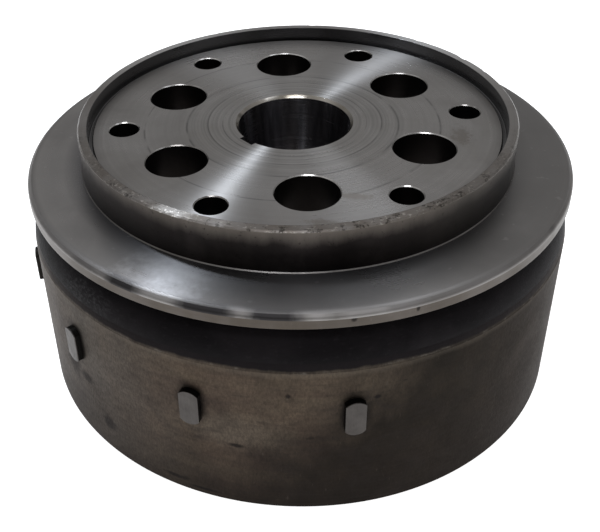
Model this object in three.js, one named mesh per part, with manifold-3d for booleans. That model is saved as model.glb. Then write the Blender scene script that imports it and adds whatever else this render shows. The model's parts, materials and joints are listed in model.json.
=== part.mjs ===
// Alternator flywheel (magneto rotor) of a small engine, in millimetres.
//
// The axis of rotation is Z. The open rim of the cup stands on z = 0 and the hub face looks
// up, along +Z. The origin is the centre of the open rim.
//
// The pieces, as they come apart on a bench:
//   hub_flange     turned steel hub: bolting face with a raised lip, twelve holes, keyed
//                  tapered boss and the wide flange whose spigot centres the cup
//   rotor_cup      forged steel cup with a rounded shoulder and a turned wall
//   trigger_tab_N  obround slugs that stand out of the wall for the ignition pickup
//   magnet_NN      arc magnets around the inside of the wall
//   magnet_cage    moulded cage that keeps the magnets apart
//   magnet_sleeve  thin stainless liner over the magnets' inner faces

import * as THREE from 'three';
import { mergeVertices } from 'three/addons/utils/BufferGeometryUtils.js';
import Module from 'manifold-3d';

const wasm = await Module();
wasm.setup();

// ---------------------------------------------------------------- driving dimensions

const GAP = 0.3;                 // clearance kept between two pieces that touch
const TURN_SEGMENTS = 60;        // facets around every turned piece
const HOLE_SEGMENTS = 20;        // facets around a drilled hole

// heights above the open rim
const LIP_TOP = 72.6;
const HUB_FACE = 68.9;
const FLANGE_TOP = 61.3;
const FLANGE_UNDERSIDE = 57.3;
const SHOULDER_FOOT = 45.2;      // where the rounded shoulder meets the straight wall
const WEB_UNDERSIDE = 53.5;      // inner face of the hub, seen from inside the cup
const BOSS_END = 28.0;           // seat of the nut on the crankshaft

// hub and flange
const LIP_RADIUS = 58.2;
const LIP_WIDTH = 2.6;
const LIP_CHAMFER = 0.4;
const UNDERCUT_WIDTH = 1.1;      // groove at the inner foot of the lip
const UNDERCUT_DEPTH = 0.8;
const FLANGE_RADIUS = 73.0;
const FLANGE_CORNER = 1.2;       // round on the upper edge of the flange
const FLANGE_CHAMFER = 0.5;      // on its lower edge
const SPIGOT_RADIUS = 54.0;
const BOSS_RADIUS = 22.0;
const BOSS_END_RADIUS = 20.8;
const BOSS_CHAMFER = 0.8;
const BOSS_FILLET = 2.0;

// tapered bore with its keyway
const BORE_RADIUS = 15.1;        // at the hub face, without the chamfer
const BORE_CHAMFER = 0.75;
const BORE_TAPER = 0.1;          // radius lost for each millimetre of depth: a 1:5 taper
const KEYWAY_WIDTH = 4.8;
const KEYWAY_RADIUS = 17.05;     // to its floor, at the hub face
const KEYWAY_ANGLE = -134;

// the two rings of holes through the hub
const WINDOW_HOLES = { count: 6, pitchRadius: 36.5, radius: 8.0, chamfer: 0.35, angle: -80.8 };
const BOLT_HOLES = { count: 6, pitchRadius: 46.15, radius: 4.05, chamfer: 0.2, angle: -50.8 };

// cup
const CUP_RADIUS = 73.3;
const CUP_INNER_RADIUS = 67.5;
const CUP_ROOF = 50.2;           // height of the cup's own ceiling
const CUP_INNER_FILLET = 5.0;
const RIM_CHAMFER = 0.8;
const RIM_INNER_CHAMFER = 0.5;

// trigger tabs: twelve equal places, with three in a row left empty
const TAB_PLACES = 12;
const TABS_MISSING = 3;
const TAB_FIRST_ANGLE = 45;
const TAB_WIDTH = 4.9;
const TAB_HEIGHT = 10.2;
const TAB_END_RADIUS = 3.2;      // flatter than a half round
const TAB_CENTRE = 31.3;         // height of the middle of a tab
const TAB_PROUD = 1.6;           // how far it stands out of the wall

// magnets, cage and sleeve
const MAGNETS = 12;
const MAGNET_ANGLE = 26;         // arc covered by one magnet, in degrees
const MAGNET_LOW = 5.0;
const MAGNET_HIGH = 39.0;
const CAGE_LOW = 1.8;
const CAGE_HIGH = 42.0;
const SLEEVE_INNER_RADIUS = 60.6;
const SLEEVE_WALL = 0.6;
const MAGNET_OUTER_RADIUS = CUP_INNER_RADIUS - GAP;
const MAGNET_INNER_RADIUS = SLEEVE_INNER_RADIUS + SLEEVE_WALL + GAP;

// ---------------------------------------------------------------- materials

const metal = (color, roughness, metalness = 1) =>
  new THREE.MeshStandardMaterial({ color, roughness, metalness });

const turnedSteel = metal(0x8b8c90, 0.32);
const oxidisedSteel = metal(0x4b443e, 0.5);
const tabSteel = metal(0x8a8985, 0.38);
const ferrite = metal(0x2c2c2f, 0.6, 0.4);
const cageResin = metal(0x1d1f22, 0.65, 0);
const stainless = metal(0x9ea0a3, 0.28);

// ---------------------------------------------------------------- helpers

const radians = THREE.MathUtils.degToRad;
const point = (x, y) => new THREE.Vector2(x, y);

// points of an arc about (x, y), both ends included, angles in degrees
function arc(x, y, radius, from, to, steps) {
  const points = [];
  for (let i = 0; i <= steps; i += 1) {
    const angle = radians(from + (to - from) * i / steps);
    points.push(point(x + radius * Math.cos(angle), y + radius * Math.sin(angle)));
  }
  return points;
}

// turns a closed outline of (radius, height) points about Z; the outline runs anticlockwise
function turned(outline, segments = TURN_SEGMENTS) {
  const geometry = new THREE.LatheGeometry([...outline, outline[0].clone()], segments);
  return geometry.rotateX(Math.PI / 2);
}

// turns an outline that starts and ends on the axis
function turnedSolid(outline, segments) {
  return new THREE.LatheGeometry(outline, segments).rotateX(Math.PI / 2);
}

function toSolid(geometry) {
  const bare = geometry.clone();
  bare.deleteAttribute('normal');
  bare.deleteAttribute('uv');
  const merged = mergeVertices(bare, 1e-4);
  return new wasm.Manifold(new wasm.Mesh({
    numProp: 3,
    vertProperties: new Float32Array(merged.attributes.position.array),
    triVerts: new Uint32Array(merged.index.array),
  }));
}

function toGeometry(solid) {
  const mesh = solid.getMesh();
  const geometry = new THREE.BufferGeometry();
  geometry.setAttribute('position', new THREE.BufferAttribute(new Float32Array(mesh.vertProperties), 3));
  geometry.setIndex(new THREE.BufferAttribute(new Uint32Array(mesh.triVerts), 1));
  geometry.computeVertexNormals();
  return geometry;
}

// cuts every tool away from a body
function cut(body, tools) {
  let solid = toSolid(body);
  for (const tool of tools) {
    solid = solid.subtract(toSolid(tool));
  }
  return toGeometry(solid);
}

function node(name, geometry, material) {
  const mesh = new THREE.Mesh(geometry, material);
  mesh.name = name;
  return mesh;
}

// ---------------------------------------------------------------- hub and flange

// one drilled hole, chamfered where it leaves the hub face
function drill({ radius, chamfer }) {
  const over = 1;
  return turnedSolid([
    point(0, WEB_UNDERSIDE - over),
    point(radius, WEB_UNDERSIDE - over),
    point(radius, HUB_FACE - chamfer),
    point(radius + chamfer + over, HUB_FACE + over),
    point(0, HUB_FACE + over),
  ], HOLE_SEGMENTS);
}

function holeRing(holes) {
  const tools = [];
  for (let i = 0; i < holes.count; i += 1) {
    const angle = radians(holes.angle + 360 * i / holes.count);
    const x = holes.pitchRadius * Math.cos(angle);
    const y = holes.pitchRadius * Math.sin(angle);
    tools.push(drill(holes).translate(x, y, 0));
  }
  return tools;
}

// a slot whose floor follows the taper of the bore
function keywayTool() {
  const over = 1;
  const top = HUB_FACE + over;
  const bottom = BOSS_END - over;
  const side = new THREE.Shape([
    point(0, bottom),
    point(KEYWAY_RADIUS - BORE_TAPER * (HUB_FACE - bottom), bottom),
    point(KEYWAY_RADIUS + BORE_TAPER * over, top),
    point(0, top),
  ]);
  const geometry = new THREE.ExtrudeGeometry(side, { depth: KEYWAY_WIDTH, bevelEnabled: false });
  geometry.translate(0, 0, -KEYWAY_WIDTH / 2);
  geometry.rotateX(Math.PI / 2);
  return geometry.rotateZ(radians(KEYWAY_ANGLE));
}

function hubFlange() {
  const lipInner = LIP_RADIUS - LIP_WIDTH;
  const undercutInner = lipInner - UNDERCUT_WIDTH;
  const undercutFloor = HUB_FACE - UNDERCUT_DEPTH;
  const boreEnd = BORE_RADIUS - BORE_TAPER * (HUB_FACE - BOSS_END);
  const cornerX = FLANGE_RADIUS - FLANGE_CORNER;
  const cornerY = FLANGE_TOP - FLANGE_CORNER;
  const outline = [
    point(SPIGOT_RADIUS, WEB_UNDERSIDE),
    point(SPIGOT_RADIUS, FLANGE_UNDERSIDE),
    point(FLANGE_RADIUS - FLANGE_CHAMFER, FLANGE_UNDERSIDE),
    point(FLANGE_RADIUS, FLANGE_UNDERSIDE + FLANGE_CHAMFER),
    ...arc(cornerX, cornerY, FLANGE_CORNER, 0, 90, 2),
    point(LIP_RADIUS, FLANGE_TOP),
    point(LIP_RADIUS, LIP_TOP - LIP_CHAMFER),
    point(LIP_RADIUS - LIP_CHAMFER, LIP_TOP),
    point(lipInner, LIP_TOP),
    point(lipInner, undercutFloor),
    point(undercutInner, undercutFloor),
    point(undercutInner, HUB_FACE),
    point(BORE_RADIUS + BORE_CHAMFER, HUB_FACE),
    point(BORE_RADIUS, HUB_FACE - BORE_CHAMFER),
    point(boreEnd, BOSS_END),
    point(BOSS_END_RADIUS - BOSS_CHAMFER, BOSS_END),
    point(BOSS_END_RADIUS, BOSS_END + BOSS_CHAMFER),
    point(BOSS_RADIUS, WEB_UNDERSIDE - BOSS_FILLET),
    point(BOSS_RADIUS + BOSS_FILLET, WEB_UNDERSIDE),
  ];
  return cut(turned(outline), [...holeRing(WINDOW_HOLES), ...holeRing(BOLT_HOLES), keywayTool()]);
}

// ---------------------------------------------------------------- cup and trigger tabs

// upright slug with two flat sides and two arched ends, grown outwards by a margin
function tabOutline(margin) {
  const half = TAB_WIDTH / 2 + margin;
  const endRadius = TAB_END_RADIUS + margin;
  const spread = Math.asin(half / endRadius) * THREE.MathUtils.RAD2DEG;
  const centre = TAB_HEIGHT / 2 + margin - endRadius;
  return new THREE.Shape([
    ...arc(0, centre, endRadius, 90 - spread, 90 + spread, 6),
    ...arc(0, -centre, endRadius, 270 - spread, 270 + spread, 6),
  ]);
}

// the slug between two radii, pointing along +X
function tabSolid(margin, innerRadius, outerRadius) {
  const options = { depth: outerRadius - innerRadius, bevelEnabled: false };
  const geometry = new THREE.ExtrudeGeometry(tabOutline(margin), options);
  geometry.translate(0, 0, innerRadius);
  geometry.rotateX(Math.PI / 2);
  geometry.rotateZ(Math.PI / 2);
  return geometry.translate(0, 0, TAB_CENTRE);
}

function tabAngles() {
  const angles = [];
  for (let i = 0; i < TAB_PLACES - TABS_MISSING; i += 1) {
    angles.push(radians(TAB_FIRST_ANGLE + 360 * i / TAB_PLACES));
  }
  return angles;
}

function rotorCup() {
  const over = 2;
  const shoulder = FLANGE_UNDERSIDE - GAP - SHOULDER_FOOT;
  const filletX = CUP_INNER_RADIUS - CUP_INNER_FILLET;
  const outline = [
    point(CUP_INNER_RADIUS + RIM_INNER_CHAMFER, 0),
    point(CUP_RADIUS - RIM_CHAMFER, 0),
    point(CUP_RADIUS, RIM_CHAMFER),
    ...arc(CUP_RADIUS - shoulder, SHOULDER_FOOT, shoulder, 0, 90, 6),
    point(SPIGOT_RADIUS + GAP, FLANGE_UNDERSIDE - GAP),
    point(SPIGOT_RADIUS + GAP, CUP_ROOF),
    ...arc(filletX, CUP_ROOF - CUP_INNER_FILLET, CUP_INNER_FILLET, 90, 0, 3),
    point(CUP_INNER_RADIUS, RIM_INNER_CHAMFER),
  ];
  const slots = tabAngles().map((angle) =>
    tabSolid(GAP, CUP_INNER_RADIUS - over, CUP_RADIUS + over).rotateZ(angle));
  return cut(turned(outline), slots);
}

// ---------------------------------------------------------------- magnets, cage and sleeve

// a block of an annulus, centred on +X and standing between two heights
function annulusBlock(innerRadius, outerRadius, arcDegrees, low, high) {
  const steps = 5;
  const half = arcDegrees / 2;
  const outline = new THREE.Shape([
    ...arc(0, 0, outerRadius, -half, half, steps),
    ...arc(0, 0, innerRadius, half, -half, steps),
  ]);
  const geometry = new THREE.ExtrudeGeometry(outline, { depth: high - low, bevelEnabled: false });
  return geometry.translate(0, 0, low);
}

function magnetAngles() {
  return Array.from({ length: MAGNETS }, (_, i) => radians(360 * i / MAGNETS));
}

function ring(innerRadius, outerRadius, low, high) {
  return turned([
    point(innerRadius, low),
    point(outerRadius, low),
    point(outerRadius, high),
    point(innerRadius, high),
  ]);
}

function magnetCage() {
  const over = 2;
  const gapAngle = GAP / MAGNET_INNER_RADIUS * THREE.MathUtils.RAD2DEG;
  const windows = magnetAngles().map((angle) => annulusBlock(
    MAGNET_INNER_RADIUS - over,
    MAGNET_OUTER_RADIUS + over,
    MAGNET_ANGLE + 2 * gapAngle,
    MAGNET_LOW - GAP,
    MAGNET_HIGH + GAP,
  ).rotateZ(angle));
  return cut(ring(MAGNET_INNER_RADIUS, MAGNET_OUTER_RADIUS, CAGE_LOW, CAGE_HIGH), windows);
}

// ---------------------------------------------------------------- assembly

const flywheel = new THREE.Group();
flywheel.add(node('hub_flange', hubFlange(), turnedSteel));
flywheel.add(node('rotor_cup', rotorCup(), oxidisedSteel));

tabAngles().forEach((angle, i) => {
  const geometry = tabSolid(0, CUP_INNER_RADIUS + GAP, CUP_RADIUS + TAB_PROUD);
  const tab = node(`trigger_tab_${i + 1}`, geometry, tabSteel);
  tab.rotation.z = angle;
  flywheel.add(tab);
});

magnetAngles().forEach((angle, i) => {
  const geometry = annulusBlock(
    MAGNET_INNER_RADIUS,
    MAGNET_OUTER_RADIUS,
    MAGNET_ANGLE,
    MAGNET_LOW,
    MAGNET_HIGH,
  );
  const magnet = node(`magnet_${String(i + 1).padStart(2, '0')}`, geometry, ferrite);
  magnet.rotation.z = angle;
  flywheel.add(magnet);
});

flywheel.add(node('magnet_cage', magnetCage(), cageResin));
flywheel.add(node(
  'magnet_sleeve',
  ring(SLEEVE_INNER_RADIUS, SLEEVE_INNER_RADIUS + SLEEVE_WALL, CAGE_LOW, CAGE_HIGH),
  stainless,
));

export default flywheel;
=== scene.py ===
"""The looks of the flywheel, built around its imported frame.

Lengths are in millimetres until a mesh is made, and in metres in Blender. The axis of rotation
is Z, the open rim of the cup stands on z = 0 and the hub face looks up.
"""

import json
import math

import bpy
from mathutils import Matrix, Vector, noise


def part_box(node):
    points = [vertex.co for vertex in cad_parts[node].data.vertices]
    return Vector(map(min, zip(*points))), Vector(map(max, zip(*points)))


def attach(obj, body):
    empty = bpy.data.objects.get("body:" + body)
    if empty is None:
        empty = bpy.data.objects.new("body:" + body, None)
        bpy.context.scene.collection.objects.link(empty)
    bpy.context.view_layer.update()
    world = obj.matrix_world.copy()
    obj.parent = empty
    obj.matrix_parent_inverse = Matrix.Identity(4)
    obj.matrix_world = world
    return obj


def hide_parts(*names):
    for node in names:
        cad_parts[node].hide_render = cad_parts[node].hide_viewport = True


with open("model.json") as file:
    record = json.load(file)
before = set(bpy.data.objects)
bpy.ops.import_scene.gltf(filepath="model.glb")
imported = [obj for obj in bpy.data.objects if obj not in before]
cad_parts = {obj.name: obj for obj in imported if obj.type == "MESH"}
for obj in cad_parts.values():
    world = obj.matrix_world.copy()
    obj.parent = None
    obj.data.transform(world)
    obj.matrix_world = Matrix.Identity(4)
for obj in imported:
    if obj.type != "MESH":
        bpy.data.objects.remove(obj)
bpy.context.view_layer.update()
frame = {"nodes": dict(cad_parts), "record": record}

MM = 0.001
TURN_SEGMENTS = 288  # facets around a turned piece
HOLE_SEGMENTS = 72  # facets around a drilled hole
FILLET_STEPS = 5
BEVEL_STEPS = 3
ARC_STEPS = 12  # facets along a tab's end or a magnet's curve
BEND_STEPS = 16  # facets along the cup's shoulder
CRISP = math.radians(24)  # edges sharper than this stay sharp when a surface is shaded smooth
OVER = 2.0  # how far a cutter reaches past what it cuts

# ------------------------------------------------------------------ sizes, from the frame


def node_size(node):
    """The outer radius, the lowest and the highest point of a node, in millimetres."""
    low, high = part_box(node)
    return high.x / MM, low.z / MM, high.z / MM


RECORD = frame["record"]
MOUNTS = {m["name"]: [c / MM for c in m["pos_m"]] for m in RECORD["mounts"]}
OPENINGS = {o["name"]: o["box_m"] for o in RECORD["physics"]["openings"]}

FLANGE_RADIUS, BOSS_END, LIP_TOP = node_size("hub_flange")
CUP_RADIUS, RIM, CUP_TOP = node_size("rotor_cup")
MAGNET_OUTER_RADIUS, CAGE_LOW, CAGE_HIGH = node_size("magnet_cage")
SLEEVE_RADIUS, SLEEVE_LOW, SLEEVE_HIGH = node_size("magnet_sleeve")
_, MAGNET_LOW, MAGNET_HIGH = node_size("magnet_01")
HUB_FACE = MOUNTS["clutch_face"][2]
FLANGE_TOP = MOUNTS["flange_face"][2]

# sizes that the frame's boxes don't give, repeated from the CAD part
LIP_RADIUS = 58.2
LIP_WIDTH = 2.6
LIP_CHAMFER = 0.4
UNDERCUT_WIDTH = 1.1
UNDERCUT_DEPTH = 0.8
FLANGE_UNDERSIDE = 57.3
WEB_UNDERSIDE = 53.5
SPIGOT_RADIUS = 54.0
SHOULDER_FOOT = 45.2
CUP_ROOF = 50.2
CUP_INNER_RADIUS = 67.5
BOSS_RADIUS = 22.0
BOSS_END_RADIUS = 20.8
BORE_RADIUS = 15.1
BORE_TAPER = 0.1
BORE_CHAMFER = 0.75
KEYWAY_WIDTH = 4.8
KEYWAY_RADIUS = 17.05
KEYWAY_ANGLE = math.radians(-134)
WINDOW_RADIUS = 8.0
WINDOW_CHAMFER = 0.25
BOLT_RADIUS = 4.05
BOLT_CHAMFER = 0.25
TAB_WIDTH = 4.9
TAB_HEIGHT = 10.2
TAB_END_RADIUS = 3.2
TAB_CENTRE = 31.3
TAB_TOP_RADIUS = 74.9
MAGNET_INNER_RADIUS = 61.5
MAGNET_HALF_ANGLE = math.radians(13)
SLEEVE_INNER_RADIUS = 60.6

WALL_TOP = SHOULDER_FOOT + 1.6  # how far the wall's finish runs up the shoulder
# stretches of the flange's chamfer with painted dark reflections and painted highlights, as the
# middle and half of the width in degrees
DARK_REFLECTION_CORNERS = ((-118.0, 3.4), (-101.4, 4.8), (-89.0, 4.2))
HIGHLIGHT_CORNERS = ((-110.5, 2.8), (-81.7, 1.6), (-73.5, 4.0))

TABS = sorted(n for n in frame["nodes"] if n.startswith("trigger_tab"))
MAGNETS = sorted(n for n in frame["nodes"] if n.startswith(("magnet_0", "magnet_1")))
TAB_PITCH = math.radians(30)


def tab_angle(node):
    """The direction of a tab around the axis."""
    low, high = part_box(node)
    return math.atan2(low.y + high.y, low.x + high.x)


def empty_angle():
    """The middle of the stretch of wall that has no tabs."""
    x = sum(math.cos(tab_angle(n)) for n in TABS)
    y = sum(math.sin(tab_angle(n)) for n in TABS)
    return math.atan2(-y, -x)


# ------------------------------------------------------------------ outlines


def arc(x, y, radius, start, end, steps):
    """Points of an arc about (x, y), both ends included, angles in radians."""
    points = []
    for i in range(steps + 1):
        angle = start + (end - start) * i / steps
        points.append((x + radius * math.cos(angle), y + radius * math.sin(angle)))
    return points


def rounded(corners):
    """The outline through corners (x, y, fillet radius, paint), as points (x, y, paint).

    paint is the number of the material on the edge that leaves the corner.
    """
    points = []
    count = len(corners)
    for i, (x, y, radius, paint) in enumerate(corners):
        if not radius:
            points.append((x, y, paint))
            continue
        here = Vector((x, y))
        to_last = (Vector(corners[i - 1][:2]) - here).normalized()
        to_next = (Vector(corners[(i + 1) % count][:2]) - here).normalized()
        half = to_last.angle(to_next) / 2
        centre = here + (to_last + to_next).normalized() * (radius / math.sin(half))
        start = here + to_last * (radius / math.tan(half)) - centre
        end = here + to_next * (radius / math.tan(half)) - centre
        turn = start.angle_signed(end)
        for k in range(FILLET_STEPS + 1):
            spoke = start.copy()
            spoke.rotate(Matrix.Rotation(-turn * k / FILLET_STEPS, 2))
            points.append((centre.x + spoke.x, centre.y + spoke.y, paint))
    return points


# ------------------------------------------------------------------ meshes


def make_object(name, vertices, faces, paints=None):
    """An object from points in millimetres, with the number of each face's material."""
    mesh = bpy.data.meshes.new(name)
    mesh.from_pydata([Vector(v) * MM for v in vertices], [], faces)
    if paints:
        mesh.polygons.foreach_set("material_index", paints)
    mesh.update()
    piece = bpy.data.objects.new(name, mesh)
    bpy.context.scene.collection.objects.link(piece)
    return piece


def turned(name, outline):
    """A ring: a closed outline of (radius, height, paint) points turned about Z."""
    vertices = []
    faces = []
    paints = []
    count = len(outline)
    for i in range(TURN_SEGMENTS):
        angle = math.tau * i / TURN_SEGMENTS
        vertices += [(r * math.cos(angle), r * math.sin(angle), z) for r, z, _ in outline]
        here, after = i * count, (i + 1) % TURN_SEGMENTS * count
        for j, (_, _, paint) in enumerate(outline):
            k = (j + 1) % count
            faces.append((here + j, after + j, after + k, here + k))
            paints.append(paint)
    return make_object(name, vertices, faces, paints)


def extruded(name, outline, low, high):
    """A prism: a closed anticlockwise outline of (x, y) points, raised from low to high."""
    count = len(outline)
    vertices = [(x, y, low) for x, y in outline] + [(x, y, high) for x, y in outline]
    faces = [tuple(reversed(range(count))), tuple(range(count, 2 * count))]
    for j in range(count):
        k = (j + 1) % count
        faces.append((j, k, count + k, count + j))
    return make_object(name, vertices, faces)


def drill(x, y, radius, chamfer, low, high, paint, edge_paint):
    """A cutter for one hole, chamfered at both faces of the plate it goes through."""
    flare = 1.0  # how far the chamfers' cones reach past the plate
    outline = [
        (radius + chamfer + flare, low - flare),
        (radius, low + chamfer),
        (radius, high - chamfer),
        (radius + chamfer + flare, high + flare),
    ]
    vertices = []
    faces = []
    paints = []
    count = len(outline)
    for i in range(HOLE_SEGMENTS):
        angle = math.tau * i / HOLE_SEGMENTS
        vertices += [(x + r * math.cos(angle), y + r * math.sin(angle), z) for r, z in outline]
        here, after = i * count, (i + 1) % HOLE_SEGMENTS * count
        for j in range(count - 1):
            faces.append((here + j, after + j, after + j + 1, here + j + 1))
            paints.append(paint if j == 1 else edge_paint)
    faces.append(tuple(count * i for i in reversed(range(HOLE_SEGMENTS))))
    faces.append(tuple(count * i + count - 1 for i in range(HOLE_SEGMENTS)))
    paints += [edge_paint, edge_paint]
    return make_object("drill", vertices, faces, paints)


def settle(piece):
    """Applies the piece's modifiers to its mesh."""
    graph = bpy.context.evaluated_depsgraph_get()
    old = piece.data
    piece.data = bpy.data.meshes.new_from_object(piece.evaluated_get(graph))
    piece.data.name = piece.name
    piece.modifiers.clear()
    bpy.data.meshes.remove(old)


def cut(piece, cutters):
    """Cuts each cutter away from the piece. A cut face keeps the cutter's paint."""
    for cutter in cutters:
        for material in piece.data.materials:
            cutter.data.materials.append(material)
        modifier = piece.modifiers.new("cut", "BOOLEAN")
        modifier.operation = "DIFFERENCE"
        modifier.solver = "EXACT"
        modifier.material_mode = "INDEX"
        modifier.object = cutter
    settle(piece)
    for cutter in cutters:
        mesh = cutter.data
        bpy.data.objects.remove(cutter)
        bpy.data.meshes.remove(mesh)


def shade(piece):
    """Smooth shading that keeps crisp edges, with large flats left truly flat."""
    mesh = piece.data
    mesh.shade_smooth()
    mesh.set_sharp_from_angle(angle=CRISP)
    weighted = piece.modifiers.new("normals", "WEIGHTED_NORMAL")
    weighted.keep_sharp = True
    weighted.mode = "FACE_AREA"
    settle(piece)


def knock(piece, radius, height, reach, depth):
    """Small dents along the edge at one radius and height, where the noise passes a threshold."""
    threshold = 0.38
    for vertex in piece.data.vertices:
        place = vertex.co / MM
        out = place.xy.length
        away = math.hypot(out - radius, place.z - height)
        blow = noise.noise(place * 0.33) + 0.6 * noise.noise(place * 0.9) - threshold
        if away < reach and blow > 0:
            inward = Vector((-place.x / out, -place.y / out, -1))
            vertex.co += inward * (blow * depth * (1 - away / reach) * MM)


def bevelled(piece, width):
    """Breaks every crisp edge of the piece."""
    bevel = piece.modifiers.new("bevel", "BEVEL")
    bevel.width = width * MM
    bevel.segments = BEVEL_STEPS
    bevel.limit_method = "ANGLE"
    bevel.angle_limit = CRISP
    settle(piece)


def finish_piece(piece, slot, *nodes):
    """Shades the piece and says what it rides on and replaces. Its slot is not used."""
    shade(piece)
    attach(piece, "root")
    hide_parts(*nodes)


# ------------------------------------------------------------------ material graphs


class Graph:
    """A material's nodes. Surface coordinates are in millimetres."""

    def __init__(self, name):
        self.material = bpy.data.materials.new(name)
        self.material.use_nodes = True
        self.tree = self.material.node_tree
        self.shader = self.tree.nodes["Principled BSDF"]
        place = self.node("ShaderNodeTexCoord").outputs["Object"]
        self.place = self.vector("SCALE", place, scale=1 / MM)
        self.x, self.y, self.z = self.node("ShaderNodeSeparateXYZ", self.place).outputs
        flat = self.node("ShaderNodeCombineXYZ", self.x, self.y).outputs[0]
        self.radius = self.vector("LENGTH", flat)
        self.angle = self.math("ARCTAN2", self.y, self.x)

    def node(self, kind, *inputs, **settings):
        """A node with its first inputs given in order. Settings are its own properties."""
        made = self.tree.nodes.new(kind)
        for key, value in settings.items():
            setattr(made, key, value)
        for socket, value in zip(made.inputs, inputs):
            self.put(socket, value)
        return made

    def put(self, socket, value):
        """Links or sets an input."""
        if isinstance(value, bpy.types.NodeSocket):
            self.tree.links.new(value, socket)
        elif value is not None:
            socket.default_value = value

    def math(self, operation, *values):
        return self.node("ShaderNodeMath", *values, operation=operation).outputs[0]

    def product(self, *values):
        """All the values multiplied together."""
        total = values[0]
        for value in values[1:]:
            total = self.math("MULTIPLY", total, value)
        return total

    def vector(self, operation, *values, scale=None):
        made = self.node("ShaderNodeVectorMath", *values, operation=operation)
        if scale is not None:
            made.inputs["Scale"].default_value = scale
        return made.outputs["Value" if operation == "LENGTH" else "Vector"]

    def stretched(self, x, y, z):
        """The place, stretched along each axis."""
        return self.vector("MULTIPLY", self.place, (x, y, z))

    def noise(self, place, scale, detail=3.0, roughness=0.5, distortion=0.0):
        made = self.node("ShaderNodeTexNoise")
        self.put(made.inputs["Vector"], place)
        made.inputs["Scale"].default_value = scale
        made.inputs["Detail"].default_value = detail
        made.inputs["Roughness"].default_value = roughness
        made.inputs["Distortion"].default_value = distortion
        return made.outputs["Fac"]

    def line_noise(self, along, scale):
        """Noise that changes along one coordinate only, such as the marks of a turning tool."""
        made = self.node("ShaderNodeTexNoise", noise_dimensions="1D")
        self.put(made.inputs["W"], along)
        made.inputs["Scale"].default_value = scale
        made.inputs["Detail"].default_value = 1.0
        return made.outputs["Fac"]

    def span(self, value, low, high, to_low=0.0, to_high=1.0):
        """Maps low..high to to_low..to_high, held at both ends."""
        made = self.node("ShaderNodeMapRange", value, low, high, to_low, to_high)
        return made.outputs["Result"]

    def mix(self, factor, first, second):
        """A colour between two, each an (r, g, b) or a socket."""
        made = self.node("ShaderNodeMix", data_type="RGBA")
        sockets = {s.identifier: s for s in made.inputs}
        self.put(sockets["Factor_Float"], factor)
        for key, value in (("A_Color", first), ("B_Color", second)):
            if isinstance(value, tuple):
                value = (*value, 1.0)
            self.put(sockets[key], value)
        return next(s for s in made.outputs if s.identifier == "Result_Color")

    def layered(self, colour, layers):
        """A colour under layers of (mask, weight, colour), the last one on top."""
        for mask, weight, tint in layers:
            colour = self.mix(self.product(mask, weight), colour, tint)
        return colour

    def bump(self, height, distance):
        """A bump of the given depth, in millimetres."""
        made = self.node("ShaderNodeBump")
        made.inputs["Strength"].default_value = 1.0
        made.inputs["Distance"].default_value = distance * MM
        self.put(made.inputs["Height"], height)
        return made.outputs["Normal"]

    def scratches(self, amount):
        """Sparse thin lines in a few directions, from 0 to 1."""
        total = None
        for turn, fine in ((0.4, 3.1), (1.3, 4.3), (2.3, 3.7)):
            turned_place = self.node("ShaderNodeVectorRotate", self.place, rotation_type="Z_AXIS")
            turned_place.inputs["Angle"].default_value = turn
            long_place = self.vector("MULTIPLY", turned_place.outputs[0], (0.05, fine, 0.4))
            line = self.noise(long_place, 1.0, detail=1.0, distortion=0.3)
            line = self.span(line, 1 - amount, 1 - amount + 0.06)
            total = line if total is None else self.math("MAXIMUM", total, line)
        return total

    def tool_marks(self, coarse=0.8, fine=2.4):
        """Rings on a flat face and rings along a wall, as a turning tool leaves them."""
        along = self.math("ADD", self.radius, self.product(self.z, 1.37))
        wide = self.line_noise(along, coarse)
        narrow = self.line_noise(along, fine)
        return self.math("MULTIPLY_ADD", wide, 0.6, self.product(narrow, 0.4))

    def ring_line(self, radius, width, off_centre=(0.0, 0.0)):
        """A thin line around the axis, from 0 to 1, faint in places."""
        across = self.math("SUBTRACT", self.x, off_centre[0])
        deep = self.math("SUBTRACT", self.y, off_centre[1])
        flat = self.node("ShaderNodeCombineXYZ", across, deep).outputs[0]
        away = self.math("ABSOLUTE", self.math("SUBTRACT", self.vector("LENGTH", flat), radius))
        faint = self.noise(self.place, 0.05 + 0.003 * radius, detail=2.0)
        return self.product(self.span(away, 0, width, 1, 0), self.span(faint, 0.35, 0.55))

    def around_span(self, middle, half, soft):
        """1 within some degrees of one direction around the axis, fading out beyond."""
        turn = self.math("ABSOLUTE", self.math("SUBTRACT", self.angle, math.radians(middle)))
        wobble = self.noise(self.place, 0.4, detail=3.0, roughness=0.6)
        away = self.math("MULTIPLY_ADD", wobble, math.radians(2 * soft), turn)
        return self.span(away, math.radians(half), math.radians(half + 2 * soft), 1, 0)

    def stretches(self, places, soft):
        """The strongest of several such spans, from (middle, half) pairs."""
        return self.strongest([self.around_span(middle, half, soft) for middle, half in places])

    def spot(self, x, y, z, size, ragged):
        """A blot with a ragged outline around one place, from 0 to 1."""
        offset = self.vector("SUBTRACT", self.place, (x, y, z))
        away = self.vector("LENGTH", self.vector("DIVIDE", offset, size))
        rough = self.noise(self.place, 0.75, detail=4.0, roughness=0.7)
        away = self.math("ADD", away, self.math("MULTIPLY_ADD", rough, 2 * ragged, -ragged))
        return self.span(away, 0.45, 1.0, 1, 0)

    def strongest(self, masks):
        """The largest of several masks at every place."""
        total = masks[0]
        for mask in masks[1:]:
            total = self.math("MAXIMUM", total, mask)
        return total

    def shine(self, colour, roughness, metallic, normal=None):
        """Puts the finished values on the shader."""
        self.put(self.shader.inputs["Base Color"], colour)
        self.put(self.shader.inputs["Roughness"], roughness)
        self.shader.inputs["Metallic"].default_value = metallic
        if normal:
            self.put(self.shader.inputs["Normal"], normal)
        return self.material

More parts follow.
